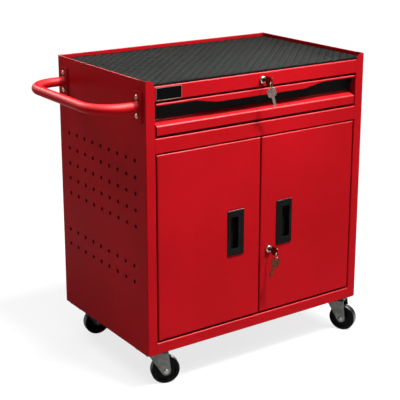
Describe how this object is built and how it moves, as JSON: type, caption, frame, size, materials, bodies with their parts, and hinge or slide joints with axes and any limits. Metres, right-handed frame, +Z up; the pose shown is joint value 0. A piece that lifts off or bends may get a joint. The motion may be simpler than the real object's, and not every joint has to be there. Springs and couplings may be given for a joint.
{
  "type": "tool cabinet",
  "caption": "Red roller tool cabinet with a shallow drawer over double doors, a lipped rubber-matted top, peg-hole sides, a tube handle and swivel casters.",
  "frame": {"origin": "on the floor under the middle of the box round the whole cabinet", "axes": "+X to the right seen from the front (handle on the -X side), +Y to the rear, +Z up; the doors and drawer face -Y"},
  "size_m": [0.8124, 0.4826, 0.8],
  "materials": {
    "red_paint": "gloss red powder coat",
    "rubber_mat": "fine-ribbed dark grey rubber",
    "bright_steel": "bright nickel plate",
    "zinc_steel": "zinc plate",
    "black_plastic": "fine-grained black plastic",
    "nylon": "black nylon",
    "wheel_rubber": "smooth black hard rubber"
  },
  "bodies": {
    "cabinet": {"left_side_panel": "red_paint", "right_side_panel": "red_paint", "back_panel": "red_paint", "bottom_panel": "red_paint", "top_panel": "red_paint", "middle_rail": "red_paint", "top_mat": "rubber_mat", "shelf": "red_paint", "shelf_angles": "red_paint", "handle_tube": "red_paint", "handle_plates": "red_paint", "handle_screws": "bright_steel", "slide_brackets": "zinc_steel", "slide_outer_members": "zinc_steel", "hinge_pins": "bright_steel", "drawer_lock_barrel": "bright_steel", "caster_plates": "zinc_steel", "caster_bolts": "zinc_steel", "kingpins": "zinc_steel"},
    "drawer": {"drawer_front": "red_paint", "drawer_box": "red_paint", "drawer_liner": "black_plastic", "slide_inner_members": "zinc_steel"},
    "slide_cages": {"ball_cages": "bright_steel", "slide_balls": "bright_steel"},
    "left_door": {"left_door_panel": "red_paint", "left_door_pull": "black_plastic", "left_hinge_bushes": "nylon", "bolt_guides": "zinc_steel"},
    "left_door_bolt": {"door_bolt": "bright_steel"},
    "right_door": {"right_door_panel": "red_paint", "right_door_pull": "black_plastic", "right_hinge_bushes": "nylon", "door_lock_barrel": "bright_steel"},
    "door_lock": {"door_lock_plug": "bright_steel", "door_lock_cam": "zinc_steel", "door_key": "bright_steel"},
    "door_keys": {"door_key_ring": "bright_steel", "door_spare_key": "bright_steel"},
    "drawer_lock": {"drawer_lock_plug": "bright_steel", "drawer_lock_cam": "zinc_steel", "drawer_key": "bright_steel"},
    "drawer_ring": {"drawer_key_ring": "bright_steel"},
    "front_left_caster": {"front_left_fork": "zinc_steel", "front_left_axle": "zinc_steel"},
    "front_left_roller": {"front_left_wheel": "wheel_rubber"},
    "front_right_caster": {"front_right_fork": "zinc_steel", "front_right_axle": "zinc_steel"},
    "front_right_roller": {"front_right_wheel": "wheel_rubber"},
    "rear_left_caster": {"rear_left_fork": "zinc_steel", "rear_left_axle": "zinc_steel"},
    "rear_left_roller": {"rear_left_wheel": "wheel_rubber"},
    "rear_right_caster": {"rear_right_fork": "zinc_steel", "rear_right_axle": "zinc_steel"},
    "rear_right_roller": {"rear_right_wheel": "wheel_rubber"}
  },
  "joints": [
    {"name": "drawer_slide", "type": "slide", "parent": "cabinet", "child": "drawer", "axis": [0, -1, 0], "range_m": [0, 0.285]},
    {"name": "ball_cage_slide", "type": "slide", "parent": "cabinet", "child": "slide_cages", "axis": [0, -1, 0], "range_m": [0, 0.1425]},
    {"name": "left_door_hinge", "type": "hinge", "parent": "cabinet", "child": "left_door", "pos_m": [-0.24275, -0.18972, 0.3765], "axis": [0, 0, -1], "range_deg": [0, 110]},
    {"name": "right_door_hinge", "type": "hinge", "parent": "cabinet", "child": "right_door", "pos_m": [0.36525, -0.18972, 0.3765], "axis": [0, 0, 1], "range_deg": [0, 110]},
    {"name": "door_bolt_slide", "type": "slide", "parent": "left_door", "child": "left_door_bolt", "axis": [0, 0, 1], "range_m": [0, 0.012]},
    {"name": "door_lock_turn", "type": "hinge", "parent": "right_door", "child": "door_lock", "pos_m": [0.08925, -0.19872, 0.3105], "axis": [0, 1, 0], "range_deg": [0, 90]},
    {"name": "door_key_ring_swing", "type": "hinge", "parent": "door_lock", "child": "door_keys", "pos_m": [0.08925, -0.23522, 0.3105], "axis": [1, 0, 0], "range_deg": [-75, 20]},
    {"name": "drawer_lock_turn", "type": "hinge", "parent": "cabinet", "child": "drawer_lock", "pos_m": [0.06125, -0.19872, 0.7665], "axis": [0, 1, 0], "range_deg": [0, 90]},
    {"name": "drawer_key_ring_swing", "type": "hinge", "parent": "drawer_lock", "child": "drawer_ring", "pos_m": [0.06125, -0.23522, 0.7665], "axis": [1, 0, 0], "range_deg": [-75, 20]},
    {"name": "front_left_swivel", "type": "hinge", "parent": "cabinet", "child": "front_left_caster", "pos_m": [-0.24375, -0.15572, 0.09], "axis": [0, 0, 1], "continuous": true},
    {"name": "front_left_roll", "type": "hinge", "parent": "front_left_caster", "child": "front_left_roller", "pos_m": [-0.21556, -0.16598, 0.0375], "axis": [0.342, 0.9397, 0], "continuous": true},
    {"name": "front_right_swivel", "type": "hinge", "parent": "cabinet", "child": "front_right_caster", "pos_m": [0.36625, -0.15572, 0.09], "axis": [0, 0, 1], "continuous": true},
    {"name": "front_right_roll", "type": "hinge", "parent": "front_right_caster", "child": "front_right_roller", "pos_m": [0.37987, -0.18245, 0.0375], "axis": [0.891, 0.454, 0], "continuous": true},
    {"name": "rear_left_swivel", "type": "hinge", "parent": "cabinet", "child": "rear_left_caster", "pos_m": [-0.24375, 0.19828, 0.09], "axis": [0, 0, 1], "continuous": true},
    {"name": "rear_left_roll", "type": "hinge", "parent": "rear_left_caster", "child": "rear_left_roller", "pos_m": [-0.21404, 0.19411, 0.0375], "axis": [0.1392, 0.9903, 0], "continuous": true},
    {"name": "rear_right_swivel", "type": "hinge", "parent": "cabinet", "child": "rear_right_caster", "pos_m": [0.36625, 0.19828, 0.09], "axis": [0, 0, 1], "continuous": true},
    {"name": "rear_right_roll", "type": "hinge", "parent": "rear_right_caster", "child": "rear_right_roller", "pos_m": [0.37146, 0.16874, 0.0375], "axis": [0.9848, 0.1736, 0], "continuous": true}
  ],
  "couplings": [
    {"joint": "ball_cage_slide", "follows": "drawer_slide", "ratio": 0.5}
  ]
}
